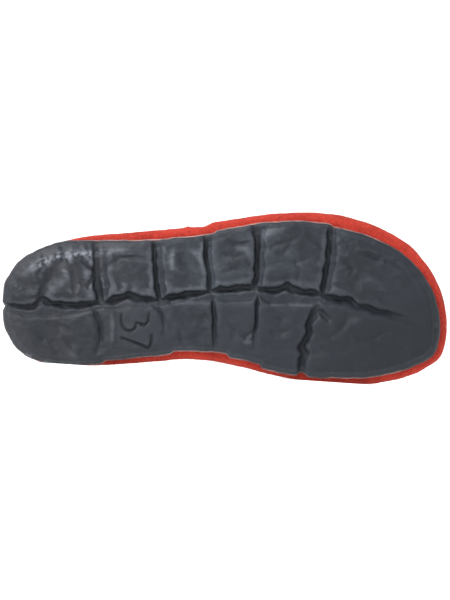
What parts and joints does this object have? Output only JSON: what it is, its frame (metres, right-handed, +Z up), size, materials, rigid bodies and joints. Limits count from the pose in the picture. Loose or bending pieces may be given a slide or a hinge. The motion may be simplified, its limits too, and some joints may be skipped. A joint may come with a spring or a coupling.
{
  "type": "felt slipper",
  "caption": "Backless felt slipper for the right foot with a low felt rim at the heel, a felt insole and a cobbled rubber sole, lying on its inner side",
  "frame": {"origin": "centre of the bounding box in X and Y, on the floor that the slipper lies on", "axes": "+X from the heel to the toe, +Z up, and the sole faces -Y. The slipper lies on its inner (medial) side"},
  "size_m": [0.2586, 0.0766, 0.0978],
  "materials": {
    "outsole": "matt moulded rubber with a faint sheen",
    "upper": "thick felted wool",
    "insole": "thick felted wool"
  },
  "bodies": {
    "root": {"outsole": "outsole", "upper": "upper", "insole": "insole"}
  },
  "joints": []
}
